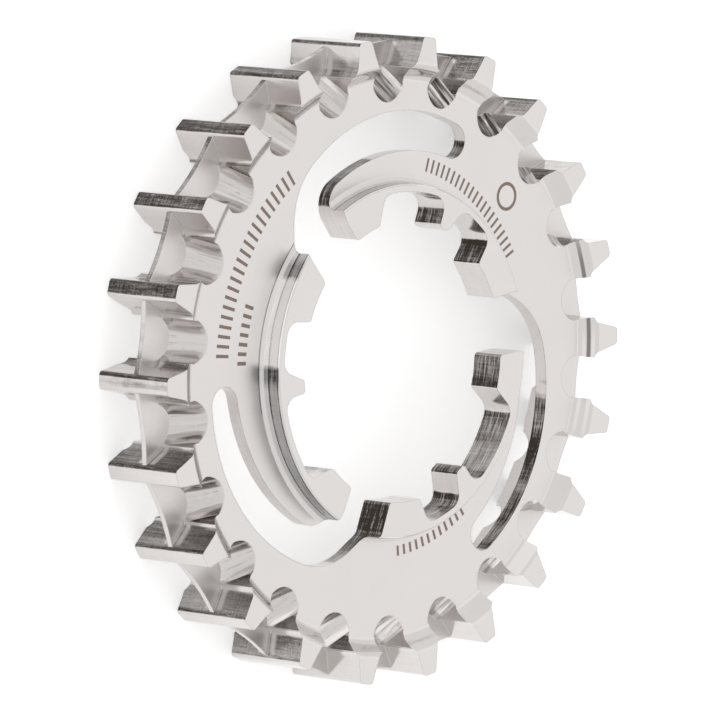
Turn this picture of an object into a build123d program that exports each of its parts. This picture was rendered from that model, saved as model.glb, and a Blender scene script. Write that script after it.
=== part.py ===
from build123d import *
import os
from math import asin, cos, radians, sin, sqrt

os.makedirs("parts", exist_ok=True)

# Belt teeth for a belt of 11 mm pitch, depths taken from the tooth tips
tooth_count = 22
tooth_length = 11.0
tip_radius = 37.65
tip_half_width = 1.0
tip_corner_radius = 0.5
flank_middle_depth = 1.65
flank_middle_half_width = 1.36
tooth_depth = 3.65
tooth_foot_half_width = 1.9
groove_corner_radius = 1.0

# Centre fin that runs in the split of the belt
fin_height = 5.45
fin_thickness = 0.7
fin_drop = 0.5
scallop_depth = 0.6

# Mud ports, milled at a slant from both ends of every groove down to the fin
port_width = 4.9
port_floor_arc_radius = 2.8
port_floor_depth = 4.1
port_slant = 54.0

# Rim behind the plate, with a cone at its mouth and one at its root
rim_wall = 2.0
mouth_cone_width = 3.0
root_cone_width = 3.0

# Plate, and the S-shaped shoulder that rises from it to the tooth fronts
plate_front = 9.4
plate_thickness = 1.7
shoulder_width = 2.4
shoulder_overlap = 0.7
shoulder_ease_width = 0.65
shoulder_ease_height = 0.22

# Hub ring on the front of the plate
hub_top = 11.86
hub_radius = 20.6
hub_foot_radius = 0.7
hub_edge_break = 0.2

# Splined bore: three arms, angles measured where the gaps leave the tab tips
arm_count = 3
tab_tip_radius = 16.4
tab_height = 3.3
gap_corner_radius = 1.6
tab_corner_radius = 0.5
narrow_gap_start = 94.0
narrow_gap_start_lean = 16.0
narrow_gap_end = 117.5
narrow_gap_end_lean = -24.0
wide_gap_start = 122.8
wide_gap_start_lean = 0.0
wide_gap_end = 158.4
wide_gap_end_lean = -28.0
arm_tab_end = 172.4
root_tab_start = 196.5

# Spiral slots: two off-centre arcs, a round closed end and a mouth into the bore
slot_outer_arc_radius = 22.15
slot_outer_offset = 7.01
slot_outer_offset_angle = 127.8
slot_inner_arc_radius = 21.68
slot_inner_offset = 3.67
slot_inner_offset_angle = 97.0
slot_end_angle = 120.9
mouth_bend_angle = 182.5
mouth_bend_fillet = 9.0
mouth_flank_height = 4.0
mouth_flank_angle = 193.9
mouth_flank_fillet = 1.5
arm_end_angle = 174.4
arm_end_fillet = 3.0


def polar(radius, angle):
    return Vector(radius * cos(radians(angle)), radius * sin(radians(angle)))


def flank_end(angle, lean):
    # point where a gap flank that leaves the tab tips at this angle meets the gap floor
    across = tab_tip_radius * cos(radians(lean))
    travel = sqrt(across**2 - tab_tip_radius**2 + gap_floor_radius**2) - across
    return polar(tab_tip_radius, angle) + polar(travel, angle + lean)


def on_arc(centre, radius, angle):
    # point of an off-centre arc seen from the part's axis at this angle
    ray = polar(1.0, angle)
    reach = ray.dot(centre)
    return ray * (reach + sqrt(reach**2 - centre.length**2 + radius**2))


def on_circle(shape, radius):
    # corners of a flat shape that lie on a circle about the part's axis
    near = 0.01
    return shape.vertices().filter_by(
        lambda v: abs(Vector(v.X, v.Y).length - radius) < near
    )


half_pitch = 180.0 / tooth_count
beyond = 2 * tip_radius
groove_floor_radius = tip_radius - tooth_depth
flank_middle_radius = tip_radius - flank_middle_depth
rim_bore_radius = groove_floor_radius - rim_wall
plate_back = plate_front - plate_thickness
shoulder_outer_radius = groove_floor_radius + shoulder_overlap
shoulder_inner_radius = shoulder_outer_radius - shoulder_width
gap_floor_radius = tab_tip_radius + tab_height

# one tooth, pointing along +X
tip_reach = sqrt(tip_radius**2 - tip_half_width**2)
foot_reach = sqrt(groove_floor_radius**2 - tooth_foot_half_width**2)
with BuildSketch() as tooth:
    with BuildLine():
        ThreePointArc(
            (tip_reach, tip_half_width), (tip_radius, 0), (tip_reach, -tip_half_width)
        )
        ThreePointArc(
            (tip_reach, -tip_half_width),
            (flank_middle_radius, -flank_middle_half_width),
            (foot_reach, -tooth_foot_half_width),
        )
        Polyline(
            (foot_reach, -tooth_foot_half_width),
            (rim_bore_radius, -tooth_foot_half_width),
            (rim_bore_radius, tooth_foot_half_width),
            (foot_reach, tooth_foot_half_width),
        )
        ThreePointArc(
            (foot_reach, tooth_foot_half_width),
            (flank_middle_radius, flank_middle_half_width),
            (tip_reach, tip_half_width),
        )
    make_face()
    fillet(tooth.vertices().group_by(Axis.X)[-1], tip_corner_radius)

# outline of all the teeth
with BuildSketch() as toothed_outline:
    Circle(groove_floor_radius)
    with PolarLocations(0, tooth_count):
        add(tooth.sketch)
    fillet(on_circle(toothed_outline, groove_floor_radius), groove_corner_radius)

# cutter for one mud port at the front, pointing along +X
port_run = polar(1.0, -port_slant)
port_plane = Plane(
    origin=(groove_floor_radius - port_floor_depth, 0, plate_front),
    x_dir=(0, 1, 0),
    z_dir=(port_run.X, 0, port_run.Y),
)
port_floor_rise = port_floor_arc_radius - sqrt(
    port_floor_arc_radius**2 - port_width**2 / 4
)
with BuildPart() as front_port:
    with BuildSketch(port_plane):
        with BuildLine():
            ThreePointArc(
                (-port_width / 2, port_floor_rise),
                (0, 0),
                (port_width / 2, port_floor_rise),
            )
            Polyline(
                (port_width / 2, port_floor_rise),
                (port_width / 2, tooth_length),
                (-port_width / 2, tooth_length),
                (-port_width / 2, port_floor_rise),
            )
        make_face()
    extrude(amount=tooth_length, both=True)
    with BuildSketch(Plane.XY.offset(fin_height + fin_thickness / 2)):
        Circle(beyond)
    extrude(amount=beyond, mode=Mode.INTERSECT)

with BuildPart() as back_port:
    mirror(front_port.part, about=Plane.XY.offset(fin_height))

# fin with its scalloped edge
fin_peak_radius = tip_radius - fin_drop
peak_angle = radians(half_pitch) - asin(tip_half_width / fin_peak_radius)
scallop_half_chord = fin_peak_radius * sin(peak_angle)
scallop_rise = fin_peak_radius * (cos(peak_angle) - 1) + scallop_depth
scallop_radius = (scallop_half_chord**2 + scallop_rise**2) / (2 * scallop_rise)
with BuildPart() as fin:
    with BuildSketch(Plane.XY.offset(fin_height - fin_thickness / 2)):
        Circle(fin_peak_radius)
        Circle(rim_bore_radius, mode=Mode.SUBTRACT)
        with PolarLocations(
            fin_peak_radius - scallop_depth + scallop_radius,
            tooth_count,
            start_angle=half_pitch,
        ):
            Circle(scallop_radius, mode=Mode.SUBTRACT)
    extrude(amount=fin_thickness)

# one spiral slot
slot_outer_centre = polar(slot_outer_offset, slot_outer_offset_angle)
slot_inner_centre = polar(slot_inner_offset, slot_inner_offset_angle)
bend = on_arc(slot_outer_centre, slot_outer_arc_radius, mouth_bend_angle)
flank = polar(tab_tip_radius + mouth_flank_height, mouth_flank_angle)
arm_end = on_arc(slot_inner_centre, slot_inner_arc_radius, arm_end_angle)
outer_start = on_arc(slot_outer_centre, slot_outer_arc_radius, slot_end_angle)
inner_start = on_arc(slot_inner_centre, slot_inner_arc_radius, slot_end_angle)
with BuildSketch() as slot:
    with BuildLine():
        RadiusArc(outer_start, bend, -slot_outer_arc_radius)
        Polyline(
            bend,
            flank,
            polar(tab_tip_radius, root_tab_start),
            polar(tab_tip_radius, arm_tab_end),
            arm_end,
        )
        RadiusArc(arm_end, inner_start, slot_inner_arc_radius)
        Line(inner_start, outer_start)
    make_face()
    fillet(slot.vertices().sort_by_distance(bend)[0], mouth_bend_fillet)
    fillet(slot.vertices().sort_by_distance(flank)[0], mouth_flank_fillet)
    fillet(slot.vertices().sort_by_distance(arm_end)[0], arm_end_fillet)
    with Locations((outer_start + inner_start) / 2):
        Circle((outer_start - inner_start).length / 2)

# the two gaps between the tabs of one arm
with BuildSketch() as arm_gaps:
    for start, start_lean, end, end_lean in (
        (narrow_gap_start, narrow_gap_start_lean, narrow_gap_end, narrow_gap_end_lean),
        (wide_gap_start, wide_gap_start_lean, wide_gap_end, wide_gap_end_lean),
    ):
        with BuildLine():
            Polyline(
                (0, 0),
                polar(tab_tip_radius, start),
                flank_end(start, start_lean),
                polar(gap_floor_radius / cos(radians(end - start) / 2), (start + end) / 2),
                flank_end(end, end_lean),
                polar(tab_tip_radius, end),
                close=True,
            )
        make_face()
    Circle(gap_floor_radius, mode=Mode.INTERSECT)

# outline of the bore with its gaps and slots
with BuildSketch() as bore:
    Circle(tab_tip_radius)
    with PolarLocations(0, arm_count):
        add(arm_gaps.sketch)
        add(slot.sketch)
    gap_corners = []
    for arm in range(arm_count):
        for angle, lean in (
            (narrow_gap_start, narrow_gap_start_lean),
            (narrow_gap_end, narrow_gap_end_lean),
            (wide_gap_start, wide_gap_start_lean),
            (wide_gap_end, wide_gap_end_lean),
        ):
            corner = flank_end(angle, lean).rotate(Axis.Z, arm * 360 / arm_count)
            gap_corners.append(bore.vertices().sort_by_distance(corner)[0])
    fillet(gap_corners, gap_corner_radius)
    fillet(on_circle(bore, tab_tip_radius), tab_corner_radius)

with BuildPart() as sprocket:
    # turned blank
    with BuildSketch(Plane.XZ):
        with BuildLine():
            Polyline(
                (0, plate_front),
                (shoulder_inner_radius, plate_front),
                (
                    shoulder_inner_radius + shoulder_ease_width,
                    plate_front + shoulder_ease_height,
                ),
                (
                    shoulder_outer_radius - shoulder_ease_width,
                    tooth_length - shoulder_ease_height,
                ),
                (shoulder_outer_radius, tooth_length),
                (beyond, tooth_length),
                (beyond, 0),
                (rim_bore_radius + mouth_cone_width, 0),
                (rim_bore_radius, mouth_cone_width),
                (rim_bore_radius, plate_back - root_cone_width),
                (rim_bore_radius - root_cone_width, plate_back),
                (0, plate_back),
                close=True,
            )
        make_face()
    revolve(axis=Axis.Z)

    # belt teeth
    add(toothed_outline.sketch)
    extrude(amount=beyond, both=True, mode=Mode.INTERSECT)

    # mud ports, then the fin that stays between them
    with PolarLocations(0, tooth_count, start_angle=half_pitch):
        add(front_port.part, mode=Mode.SUBTRACT)
        add(back_port.part, mode=Mode.SUBTRACT)
    add(fin.part)

    # hub ring, its foot eased in two steps
    foot_ease = hub_foot_radius * (1 - sqrt(0.5))
    with BuildSketch(Plane.XZ):
        with BuildLine():
            Polyline(
                (0, plate_front),
                (0, hub_top),
                (hub_radius - hub_edge_break, hub_top),
                (hub_radius, hub_top - hub_edge_break),
                (hub_radius, plate_front + hub_foot_radius),
                (hub_radius + foot_ease, plate_front + foot_ease),
                (hub_radius + hub_foot_radius, plate_front),
                close=True,
            )
        make_face()
    revolve(axis=Axis.Z)

    # bore, gaps and slots, through plate and hub
    add(bore.sketch)
    extrude(amount=beyond, mode=Mode.SUBTRACT)

sprocket.part.label = "sprocket"
export_step(sprocket.part, "parts/sprocket.step")
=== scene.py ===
from math import cos, pi, radians, sin
from types import SimpleNamespace

import bpy
from mathutils import Matrix, Vector

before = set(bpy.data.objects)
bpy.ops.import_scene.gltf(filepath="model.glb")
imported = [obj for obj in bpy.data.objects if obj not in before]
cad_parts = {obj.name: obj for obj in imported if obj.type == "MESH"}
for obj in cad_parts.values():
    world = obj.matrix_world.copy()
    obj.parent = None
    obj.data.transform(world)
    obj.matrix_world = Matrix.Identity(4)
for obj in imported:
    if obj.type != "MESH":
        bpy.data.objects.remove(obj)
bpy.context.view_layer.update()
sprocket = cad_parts["sprocket"]

# Units: lengths are in metres. A pair of numbers is the range over which something fades in,
# from none to full, and two more numbers after it are what it fades from and to.

# Sizes of the sprocket that the finish follows
PLATE_FRONT = 0.0094
FIN_HEIGHT = 0.0055
PORT_SLANT = radians(54.0)
HUB_RADIUS = 0.0206
HUB_FOOT_MIDDLE = 0.0210
HUB_FOOT_REACH = 0.0005
HUB_FOOT_RADIUS = 0.0214
RIM_BORE_RADIUS = 0.0320
RIM_INSIDE = 0.0310
TOOTH_ROOT = (0.0335, 0.0340)
TOOTH_TIP = (0.0368, 0.0374)
SHOULDER_INNER = 0.0323
SHOULDER_OUTER = 0.0347
SHOULDER_SLOPE = radians(55.0)
EDGE_BREAK = 0.00018
EDGE_SAMPLES = 6

# How far a point may be off a size and still count as on it
RADIUS_REACH = 0.0003
ABOVE_PLATE = 0.00001
BELOW_PLATE = 0.0001
ON_PLATE = 0.00005

# Kinds of surface, by the height of their normal, its sign left out in the ranges
FLAT = (0.90, 0.99)
WALL = (0.32, 0.08)
SLANT_FROM_WALL = (0.25, 0.35)
SLANT_FROM_FLAT = (0.95, 0.85)
FACES_FRONT = 0.3
FACES_OUT = 0.7

# Noises: scale per metre, detail and roughness, and how much shorter they are along a cut
LAYER_NOISE = (5200.0, 3.0, 0.7)
STROKE_NOISE = (3600.0, 4.0, 0.75)
GRAIN_NOISE = (9000.0, 3.0, 0.6)
BAND_NOISE = (420.0, 3.0, 0.6)
SWEEP_NOISE = (230.0, 1.5, 0.5)
BLOT_NOISE = (620.0, 3.0, 0.6)
CLOUD_NOISE = (140.0, 4.0, 0.55)
PORT_STREAK_NOISE = (1700.0, 3.0, 0.65)
PORT_SCUFF_NOISE = (3200.0, 3.0, 0.7)
ALONG_CUT = 0.06
ALONG_PORT = 0.05

# Cutter lines: shares of layers and strokes in the bore, and of strokes, layers and grain on
# the teeth, with the radii between which one changes to the other
BORE_SHARES = (0.72, 0.28)
TOOTH_SHARES = (0.40, 0.18, 0.42)
BORE_TO_TEETH = (0.0300, 0.0315)
SWEEP = (0.36, 0.62, 0.84, 1.40)
BLOT_WANDER = 0.10
BAND_WANDER = 0.30

# Steel: brightness of its ground faces, the painted shade that makes every wall darker, and how
# much cutter lines stand out at least, and more with each step of painted shade
FACE_VALUE = 0.71
CLOUD_SHARE = 0.07
GRAIN_SHARE = 0.03
WALL_PAINTED_SHADE = 0.10
DARKEST_VALUE = 0.04
BRIGHTEST_VALUE = 0.97
LINE_CONTRAST = 0.25
DARK_LINE_CONTRAST = 3.2

# Warmth: share of the brightness and fixed part that green and blue lose, less at the hub
GREEN_LOSS = (0.031, 0.007)
BLUE_LOSS = (0.045, 0.012)
HUB_WARMTH_LOSS = 0.8

# Roughness and what the noises add to it, and bump
FACE_ROUGHNESS = 0.30
CLOUD_ROUGHNESS = 0.12
WALL_ROUGHNESS = 0.04
BAND_ROUGHNESS = 0.18
HUB_FOOT_ROUGHNESS = 0.38
GRAIN_HEIGHT = 0.12
BURNT_HEIGHT = -0.6
BUMP_STRENGTH = 0.5
BUMP_DISTANCE = 0.00002

# Painted reflection on walls that face the dark end of the studio: cosines of the angle from it
# at which they start to be painted darker and are dark, each in the bore and on the teeth, and
# how much darker they are painted
DARK_SIDE = (0.259, 0.966, 0.0)
DARK_START = (0.76, 0.79)
DARK_FULL = (0.84, 0.92)
PAINTED_SHADE_BORE = 0.41
PAINTED_SHADE_FLANK = 0.33
PAINTED_SHADE_TIP = 0.56
# the painted shade is uneven on the tips, and deeper still in the bore on walls facing the
# darkest side
TIP_UNEVENNESS = 0.15
DARKEST_SIDE = (-0.225, 0.974, 0.0)
DARKEST_RANGE = (0.955, 0.985)
DARKEST_PAINTED_SHADE = 0.15

# Painted highlight, a bright band beside the fin: its height off the fin, its edges, its end and
# its patches
FIN_BAND = 0.0009
FIN_BAND_EDGE = (0.0007, 0.0001)
FIN_BAND_END = (0.0370, 0.0366)
FIN_BAND_PATCHES = (0.25, 0.75, 0.75, 1.15)

# Hub wall, painted reflection: where its painted bright part, dark bands, light grey part and
# foot line end, as cosines of the angle from its bright side, and how much brighter or darker it
# is painted there
HUB_BRIGHT_SIDE = (-0.125, 0.992, 0.0)
HUB_WANDER = 0.08
HUB_BRIGHT_END = (0.971, 0.963)
HUB_BAND_END = (0.946, 0.921)
HUB_LIGHT_END = (0.71, 0.53)
HUB_FOOT_LINE_END = (0.86, 0.88)
HUB_PAINTED_HIGHLIGHT = 0.36
HUB_FOOT_PAINTED_HIGHLIGHT = 0.21
HUB_PAINTED_BAND_DROP = (-0.10, 0.10, 0.44, 0.30)
HUB_AFTER_BAND_LIFT = 0.30
HUB_FOOT_AFTER_BAND_LIFT = 0.40
HUB_LIGHT_DROP = 0.14
HUB_EDGE_LINE = (0.01146, 0.01158)
HUB_FOOT_EDGE_LINE = (0.01034, 0.01022)
HUB_PAINTED_OUTLINE_DROP = 0.38
HUB_FOOT_LINE_HALF_WIDTH = 0.00008
HUB_FOOT_PAINTED_LINE_DROP = 0.45

# Shoulder: the side on which its steepest part shows a painted dark reflection line, and that
# line's slopes
SHOULDER_DARK_SIDE = (0.5, -0.866, 0.0)
SHOULDER_DARK_RANGE = (0.94, 0.99)
SHOULDER_LINE_SLOPES = (0.92, 0.955)
SHOULDER_PAINTED_LINE_DROP = 0.50

# Mud ports: streaks, scuffs in patches, the painted shade in the streaks, and the two sides of
# the ring where that painted shade is deeper
PORT_STREAKS = (0.36, 0.62, 0.25, 1.4)
PORT_SCUFFS = (0.54, 0.64)
PORT_SCUFF_PATCHES = (0.42, 0.58)
PORT_SCUFF_DROP = 0.17
PORT_PAINTED_SHADE = 0.05
PORT_PAINTED_SHADE_X = (0.72, 0.98, 0.0, 0.46)
PORT_PAINTED_SHADE_Y = (-0.22, -0.58, 0.0, 0.26)

# Marks on the plate: one ring, and rows of strokes with the middle radius, half height,
# first and last angle, number of strokes and filled share of each
MARK_COLOUR = (0.19, 0.14, 0.11, 1.0)
MARK_DEPTH = 0.92
RING_PLACE = (0.0244, -0.0109)
RING_RADIUS = 0.0015
RING_HALF_WIDTH = 0.00020
MARK_ROWS = (
    (0.0274, 0.0010, 60.0, 111.0, 22.0, 0.35),
    (0.0242, 0.0007, 95.0, 113.0, 7.0, 0.4),
    (0.0232, 0.0008, -38.0, 10.0, 21.0, 0.35),
    (0.0225, 0.0006, -152.0, -120.0, 12.0, 0.35),
)

# Camera of the photograph: a long lens, rolled until the sprocket's axis points right
CAMERA_PLACE = Vector((-0.19626, 0.69676, 0.69530))
CAMERA_RIGHT = Vector((0.28727, -0.63219, 0.71959))
CAMERA_UP = Vector((0.93761, 0.33920, -0.07631))
CAMERA_LENS = 430.21
CAMERA_REACH = 20.0
SENSOR_WIDTH = 36.0

# Studio: floor paint, the part of its white that only the camera and mirrors see, and the room
FLOOR_SIZE = 6.0
FLOOR_PAINT = (0.9, 0.9, 0.9, 1.0)
FLOOR_LIFT = 0.42
WHITE = (1.0, 1.0, 1.0, 1.0)
ROOM_COLOUR = (0.86, 0.86, 0.86, 1.0)
# name, place, width, height, power
SOFTBOXES = (
    ("key", (0.25, -0.9, 0.95), 1.3, 0.9, 0.6),
    ("fill", (0.9, 0.6, 0.7), 0.5, 0.8, 0.2),
    ("front", (-0.25, 0.95, 0.95), 0.7, 0.5, 0.16),
)


class Shader:
    # small helper that adds nodes to a material or world and links them
    def __init__(self, owner):
        owner.use_nodes = True
        self.tree = owner.node_tree
        self.tree.nodes.clear()

    def put(self, node, socket, value):
        if isinstance(value, bpy.types.NodeSocket):
            self.tree.links.new(value, node.inputs[socket])
        else:
            node.inputs[socket].default_value = value

    def node(self, kind, inputs=None, **settings):
        node = self.tree.nodes.new(kind)
        for name, value in settings.items():
            setattr(node, name, value)
        for socket, value in (inputs or {}).items():
            self.put(node, socket, value)
        return node

    def math(self, operation, *values):
        inputs = dict(enumerate(values))
        return self.node("ShaderNodeMath", inputs, operation=operation).outputs[0]

    def add(self, *values):
        total = values[0]
        for value in values[1:]:
            total = self.math("ADD", total, value)
        return total

    def times(self, *values):
        product = values[0]
        for value in values[1:]:
            product = self.math("MULTIPLY", product, value)
        return product

    def minus(self, first, second):
        return self.math("SUBTRACT", first, second)

    def near(self, value, middle, reach):
        # 1 where the value is within reach of the middle
        return self.math("LESS_THAN", self.math("ABSOLUTE", self.minus(value, middle)), reach)

    def within(self, value, low, high):
        above = self.math("GREATER_THAN", value, low)
        return self.times(above, self.math("LESS_THAN", value, high))

    def ramp(self, value, low, high, to_low=0.0, to_high=1.0):
        # smooth step of a value from low to high
        node = self.node(
            "ShaderNodeMapRange",
            {
                "Value": value,
                "From Min": low,
                "From Max": high,
                "To Min": to_low,
                "To Max": to_high,
            },
            interpolation_type="SMOOTHSTEP",
        )
        return node.outputs[0]

    def vector(self, operation, *values):
        inputs = dict(enumerate(values))
        return self.node("ShaderNodeVectorMath", inputs, operation=operation).outputs

    def dot(self, first, second):
        return self.vector("DOT_PRODUCT", first, second)["Value"]

    def join(self, x=0.0, y=0.0, z=0.0):
        return self.node("ShaderNodeCombineXYZ", {0: x, 1: y, 2: z}).outputs[0]

    def split(self, vector):
        return self.node("ShaderNodeSeparateXYZ", {0: vector}).outputs

    def noise(self, vector, scale, detail, roughness):
        node = self.node(
            "ShaderNodeTexNoise",
            {"Vector": vector, "Scale": scale, "Detail": detail, "Roughness": roughness},
        )
        return node.outputs["Fac"]


def survey(s):
    # where a point of the surface lies, and which way it faces
    p = SimpleNamespace()
    p.place = s.node("ShaderNodeTexCoord").outputs["Object"]
    p.normal = s.node("ShaderNodeNewGeometry").outputs["Normal"]
    p.x, p.y, p.z = s.split(p.place)
    outward = s.vector("MULTIPLY", p.place, (1.0, 1.0, 0.0))[0]
    p.radius = s.vector("LENGTH", outward)["Value"]
    p.ray = s.vector("NORMALIZE", outward)[0]
    p.ray_x, p.ray_y, _ = s.split(p.ray)
    p.off_fin = s.math("ABSOLUTE", s.minus(p.z, FIN_HEIGHT))

    normal_z = s.split(p.normal)[2]
    upright = s.math("ABSOLUTE", normal_z)
    p.front = s.math("GREATER_THAN", normal_z, FACES_FRONT)
    p.flat = s.ramp(upright, *FLAT)
    p.wall = s.ramp(upright, *WALL)
    p.slanted = s.times(s.ramp(upright, *SLANT_FROM_WALL), s.ramp(upright, *SLANT_FROM_FLAT))
    faces_out = s.math("GREATER_THAN", s.dot(p.normal, p.ray), FACES_OUT)
    p.at_hub = s.times(s.near(p.radius, HUB_RADIUS, RADIUS_REACH), faces_out)
    p.at_foot = s.times(s.near(p.radius, HUB_FOOT_MIDDLE, HUB_FOOT_REACH), p.slanted)
    return p


def cutter_marks(s, p):
    # cutters leave lines round the bore and slots, and crossed lines with grain on the teeth
    m = SimpleNamespace()
    layered = s.vector("MULTIPLY", p.place, (ALONG_CUT, ALONG_CUT, 1.0))[0]
    stretched = s.vector("MULTIPLY", p.place, (1.0, 1.0, ALONG_CUT))[0]
    layers = s.noise(layered, *LAYER_NOISE)
    strokes = s.noise(stretched, *STROKE_NOISE)
    m.grain = s.noise(p.place, *GRAIN_NOISE)
    in_bore = s.add(s.times(layers, BORE_SHARES[0]), s.times(strokes, BORE_SHARES[1]))
    on_teeth = s.add(
        s.times(strokes, TOOTH_SHARES[0]),
        s.times(layers, TOOTH_SHARES[1]),
        s.times(m.grain, TOOTH_SHARES[2]),
    )
    share = s.ramp(p.radius, *BORE_TO_TEETH)
    m.lines = s.node("ShaderNodeMix", {0: share, 2: in_bore, 3: on_teeth}).outputs[0]
    m.bands = s.noise(stretched, *BAND_NOISE)
    m.sweep = s.ramp(s.noise(stretched, *SWEEP_NOISE), *SWEEP)
    m.blots = s.noise(p.place, *BLOT_NOISE)
    m.cloud = s.noise(p.place, *CLOUD_NOISE)
    # keeps the borders of the dark areas ragged
    m.wander = s.add(
        s.times(s.minus(m.blots, 0.5), BLOT_WANDER),
        s.times(s.minus(m.bands, 0.5), BAND_WANDER),
    )
    return m


def painted_wall_reflections(s, p, m):
    # painted reflection: walls that face the dark end of the studio are painted darker, as its
    # mirror image, most of all on the tips
    start = s.ramp(p.radius, RIM_INSIDE, TOOTH_ROOT[0], *DARK_START)
    full = s.ramp(p.radius, RIM_INSIDE, TOOTH_ROOT[0], *DARK_FULL)
    painted_reflection = s.ramp(s.add(s.dot(p.normal, DARK_SIDE), m.wander), start, full)
    drop = s.ramp(p.radius, RIM_INSIDE, TOOTH_ROOT[1], PAINTED_SHADE_BORE, PAINTED_SHADE_FLANK)
    uneven = s.times(s.minus(m.sweep, 1.0), s.ramp(p.radius, *TOOTH_TIP, 1.0, TIP_UNEVENNESS))
    drop = s.times(drop, s.add(uneven, 1.0))
    darkest = s.ramp(s.dot(p.normal, DARKEST_SIDE), *DARKEST_RANGE)
    deepest = s.ramp(p.radius, RIM_INSIDE, TOOTH_ROOT[0], DARKEST_PAINTED_SHADE, 0.0)
    drop = s.add(drop, s.times(darkest, deepest))
    drop = s.add(drop, s.ramp(p.radius, *TOOTH_TIP, 0.0, PAINTED_SHADE_TIP - PAINTED_SHADE_FLANK))

    # painted highlight: a bright band beside the fin on both sides, where the flanks mirror the
    # fin, is kept out of the painted shade
    beside_fin = s.math("ABSOLUTE", s.minus(p.off_fin, FIN_BAND))
    band = s.times(
        s.ramp(beside_fin, *FIN_BAND_EDGE),
        s.ramp(p.radius, *TOOTH_ROOT),
        s.ramp(p.radius, *FIN_BAND_END),
        s.ramp(m.bands, *FIN_BAND_PATCHES),
    )
    drop = s.times(drop, s.minus(1.0, band))

    # not the hub's outer wall, which has painted shades of its own, nor the rim's bore
    at_rim_bore = s.near(p.radius, RIM_BORE_RADIUS, RADIUS_REACH)
    elsewhere = s.minus(1.0, s.math("MAXIMUM", p.at_hub, at_rim_bore))
    return s.times(painted_reflection, p.wall, drop, elsewhere)


def hub_painted_reflections(s, p, m):
    # painted reflection, by the way the wall faces: bright in the middle, a dark band at each
    # end of that, then lighter and middle grey
    facing = s.dot(p.ray, HUB_BRIGHT_SIDE)
    turn = s.add(facing, s.times(m.wander, HUB_WANDER))
    band = s.ramp(p.ray_x, *HUB_PAINTED_BAND_DROP)
    painted_shade = s.add(
        s.ramp(turn, *HUB_BRIGHT_END, -HUB_PAINTED_HIGHLIGHT, band),
        s.ramp(turn, *HUB_BAND_END, 0.0, -HUB_AFTER_BAND_LIFT),
        s.ramp(turn, *HUB_LIGHT_END, 0.0, HUB_LIGHT_DROP),
    )
    # painted dark outlines, the lower one only beyond the bright part
    lower = s.times(s.ramp(p.z, *HUB_FOOT_EDGE_LINE), s.ramp(turn, *HUB_BRIGHT_END))
    painted_outline = s.math("MAXIMUM", s.ramp(p.z, *HUB_EDGE_LINE), lower)
    wall = s.times(s.add(painted_shade, s.times(painted_outline, HUB_PAINTED_OUTLINE_DROP)), p.at_hub, p.wall)

    # painted reflection: the foot is bright and dark with the wall, and ends at a thin painted
    # dark line
    foot = s.add(
        s.ramp(turn, *HUB_BRIGHT_END, -HUB_FOOT_PAINTED_HIGHLIGHT, band),
        s.ramp(turn, *HUB_BAND_END, 0.0, -HUB_FOOT_AFTER_BAND_LIFT),
    )
    line = s.times(
        s.near(p.radius, HUB_FOOT_RADIUS, HUB_FOOT_LINE_HALF_WIDTH),
        s.ramp(facing, *HUB_FOOT_LINE_END),
        p.front,
    )
    return s.add(wall, s.times(foot, p.at_foot), s.times(line, HUB_FOOT_PAINTED_LINE_DROP))


def shoulder(s, p):
    # the shoulder is an S in section: its slope swells and fades between its two radii
    across = s.math("DIVIDE", s.minus(p.radius, SHOULDER_INNER), SHOULDER_OUTER - SHOULDER_INNER)
    above_plate = s.math("GREATER_THAN", p.z, PLATE_FRONT + ABOVE_PLATE)
    here = s.times(s.within(across, 0.0, 1.0), above_plate, p.front)
    slope = s.times(s.math("SINE", s.times(across, pi)), SHOULDER_SLOPE)
    inward = s.node(
        "ShaderNodeVectorMath",
        {0: p.ray, 3: s.times(s.math("SINE", slope), -1.0)},
        operation="SCALE",
    ).outputs[0]
    normal = s.vector("ADD", inward, s.join(z=s.math("COSINE", slope)))[0]
    # its steepest part gets a painted dark reflection line on one side
    dark_side = s.ramp(s.dot(p.ray, SHOULDER_DARK_SIDE), *SHOULDER_DARK_RANGE)
    line = s.times(s.ramp(slope, *SHOULDER_LINE_SLOPES), dark_side, here)
    return here, normal, s.times(line, SHOULDER_PAINTED_LINE_DROP)


def mud_ports(s, p, m):
    # the port cutter's streaks run along the port: round, across and along its slanted axis
    here = s.times(p.slanted, s.math("LESS_THAN", p.z, PLATE_FRONT - BELOW_PLATE))
    turned = s.times(s.math("ARCTAN2", p.y, p.x), RIM_BORE_RADIUS)
    across = s.add(s.times(p.radius, sin(PORT_SLANT)), s.times(p.off_fin, cos(PORT_SLANT)))
    along = s.minus(s.times(p.radius, cos(PORT_SLANT)), s.times(p.off_fin, sin(PORT_SLANT)))
    port_place = s.join(turned, across, s.times(along, ALONG_PORT))
    streaks = s.ramp(s.noise(port_place, *PORT_STREAK_NOISE), *PORT_STREAKS)
    scuffs = s.times(
        s.ramp(s.noise(port_place, *PORT_SCUFF_NOISE), *PORT_SCUFFS),
        s.ramp(m.blots, *PORT_SCUFF_PATCHES),
    )
    # painted shade, laid along the streaks: a little everywhere, deeper on two sides of the ring
    painted_side_shade = s.math("MAXIMUM", s.ramp(p.ray_x, *PORT_PAINTED_SHADE_X), s.ramp(p.ray_y, *PORT_PAINTED_SHADE_Y))
    painted_shade = s.times(s.add(painted_side_shade, PORT_PAINTED_SHADE), streaks, here)
    return s.add(s.times(scuffs, here, PORT_SCUFF_DROP), painted_shade)


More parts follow.
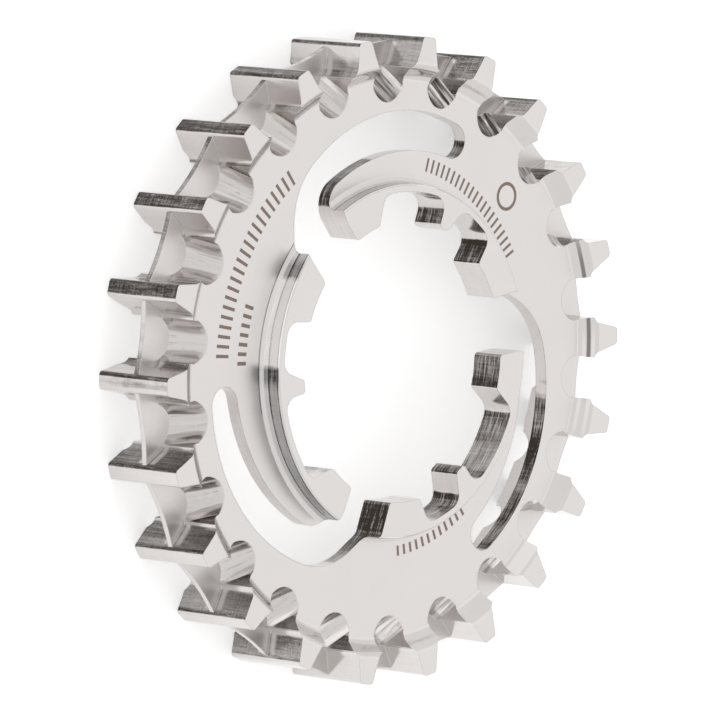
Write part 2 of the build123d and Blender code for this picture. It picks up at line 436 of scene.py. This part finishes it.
def plate_marks(s, p):
    # burnt into the plate by laser: rows of plain strokes on arcs, and one plain ring
    angle = s.math("DEGREES", s.math("ARCTAN2", p.y, p.x))
    from_ring = s.join(s.minus(p.x, RING_PLACE[0]), s.minus(p.y, RING_PLACE[1]))
    total = s.near(s.vector("LENGTH", from_ring)["Value"], RING_RADIUS, RING_HALF_WIDTH)
    for middle, half_height, first, last, strokes, filled in MARK_ROWS:
        row = s.near(p.radius, middle, half_height)
        along = s.math("DIVIDE", s.minus(angle, first), last - first)
        stroke = s.math("LESS_THAN", s.math("FRACT", s.times(along, strokes)), filled)
        mark = s.times(row, s.within(along, 0.0, 1.0), stroke)
        total = s.math("MAXIMUM", total, mark)
    return s.times(total, s.near(p.z, PLATE_FRONT, ON_PLATE))


def steel_colour(s, p, m, painted_shade):
    value = s.add(FACE_VALUE, s.times(m.cloud, CLOUD_SHARE), s.times(m.grain, GRAIN_SHARE))
    # the lines stand out more the darker the painted shade makes the wall
    darkness = s.math("MAXIMUM", painted_shade, 0.0)
    contrast = s.add(LINE_CONTRAST, s.times(darkness, DARK_LINE_CONTRAST))
    value = s.add(value, s.times(s.minus(m.lines, 0.5), p.wall, contrast))
    # painted shade on walls and painted reflections, then the ports' painted shade and scuffs
    value = s.minus(value, s.add(painted_shade, s.times(p.wall, WALL_PAINTED_SHADE), mud_ports(s, p, m)))
    value = s.math("MINIMUM", s.math("MAXIMUM", value, DARKEST_VALUE), BRIGHTEST_VALUE)

    # steel is a little warm, and hardly so on the hub's wall
    warmth = s.minus(1.0, s.times(p.at_hub, HUB_WARMTH_LOSS))
    green_loss, blue_loss = (
        s.times(warmth, s.add(s.times(value, share), fixed))
        for share, fixed in (GREEN_LOSS, BLUE_LOSS)
    )
    channels = {0: value, 1: s.minus(value, green_loss), 2: s.minus(value, blue_loss)}
    return s.node("ShaderNodeCombineColor", channels).outputs[0]


def machined_steel():
    material = bpy.data.materials.new("machined_steel")
    s = Shader(material)
    p = survey(s)
    m = cutter_marks(s, p)
    on_shoulder, shoulder_normal, shoulder_painted_line = shoulder(s, p)
    # painted shade and painted reflections on the walls, the hub and the shoulder
    painted_shade = s.add(painted_wall_reflections(s, p, m), hub_painted_reflections(s, p, m), shoulder_painted_line)

    burnt = plate_marks(s, p)
    colour = s.node("ShaderNodeMix", data_type="RGBA")
    s.put(colour, 0, s.times(burnt, MARK_DEPTH))
    s.put(colour, 6, steel_colour(s, p, m, painted_shade))
    s.put(colour, 7, MARK_COLOUR)

    rough_face = s.add(FACE_ROUGHNESS, s.times(m.cloud, CLOUD_ROUGHNESS))
    rough_wall = s.add(WALL_ROUGHNESS, s.times(m.bands, BAND_ROUGHNESS))
    roughness = s.add(s.times(rough_face, p.flat), s.times(rough_wall, s.minus(1.0, p.flat)))
    roughness = s.math("MAXIMUM", roughness, s.times(p.at_foot, HUB_FOOT_ROUGHNESS))

    # edges are rounded by shading, except on the shoulder, which has a normal of its own
    soft_edges = s.node("ShaderNodeBevel", {"Radius": EDGE_BREAK}, samples=EDGE_SAMPLES)
    normal = s.node("ShaderNodeMix", data_type="VECTOR")
    s.put(normal, 0, on_shoulder)
    s.put(normal, 4, soft_edges.outputs[0])
    s.put(normal, 5, shoulder_normal)
    height = s.add(
        s.times(m.lines, p.wall),
        s.times(m.grain, GRAIN_HEIGHT),
        s.times(burnt, BURNT_HEIGHT),
    )
    bump = s.node(
        "ShaderNodeBump",
        {
            "Strength": BUMP_STRENGTH,
            "Distance": BUMP_DISTANCE,
            "Height": height,
            "Normal": normal.outputs[1],
        },
    )
    shader = s.node(
        "ShaderNodeBsdfPrincipled",
        {
            "Base Color": colour.outputs[2],
            "Metallic": 1.0,
            "Roughness": roughness,
            "Normal": bump.outputs[0],
        },
    )
    s.node("ShaderNodeOutputMaterial", {0: shader.outputs[0]})
    return material


def white_floor():
    material = bpy.data.materials.new("white_floor")
    s = Shader(material)
    path = s.node("ShaderNodeLightPath").outputs
    seen = s.math("MAXIMUM", path["Is Camera Ray"], path["Is Glossy Ray"])
    paint = s.node("ShaderNodeBsdfDiffuse", {"Color": FLOOR_PAINT})
    lift = s.node("ShaderNodeEmission", {"Color": WHITE, "Strength": s.times(seen, FLOOR_LIFT)})
    both = s.node("ShaderNodeAddShader", {0: paint.outputs[0], 1: lift.outputs[0]})
    s.node("ShaderNodeOutputMaterial", {0: both.outputs[0]})
    return material


def softbox(name, place, width, height, power):
    light = bpy.data.lights.new(name, "AREA")
    light.shape = "RECTANGLE"
    light.size = width
    light.size_y = height
    light.energy = power
    lamp = bpy.data.objects.new(name, light)
    bpy.context.collection.objects.link(lamp)
    lamp.location = place
    # it points at the origin, where the sprocket lies
    lamp.rotation_euler = (-Vector(place)).to_track_quat("-Z", "Y").to_euler()


# finish of the sprocket
steel = machined_steel()
for slot in sprocket.material_slots:
    slot.material = steel

# floor under the tooth backs
bpy.ops.mesh.primitive_plane_add(size=FLOOR_SIZE, location=(0, 0, 0))
floor = bpy.context.object
floor.name = "floor"
floor.data.materials.append(white_floor())

# studio
world = bpy.data.worlds.new("studio")
bpy.context.scene.world = world
sky = Shader(world)
room = sky.node("ShaderNodeBackground", {"Color": ROOM_COLOUR, "Strength": 1.0})
sky.node("ShaderNodeOutputWorld", {0: room.outputs[0]})
for box in SOFTBOXES:
    softbox(*box)

# camera
camera_data = bpy.data.cameras.new("camera")
camera_data.sensor_width = SENSOR_WIDTH
camera_data.lens = CAMERA_LENS
camera_data.clip_end = CAMERA_REACH
camera = bpy.data.objects.new("camera", camera_data)
bpy.context.collection.objects.link(camera)
turn = Matrix((CAMERA_RIGHT, CAMERA_UP, CAMERA_RIGHT.cross(CAMERA_UP))).transposed()
camera.matrix_world = Matrix.Translation(CAMERA_PLACE) @ turn.to_4x4()
bpy.context.scene.camera = camera

bpy.context.scene.view_settings.view_transform = "Standard"
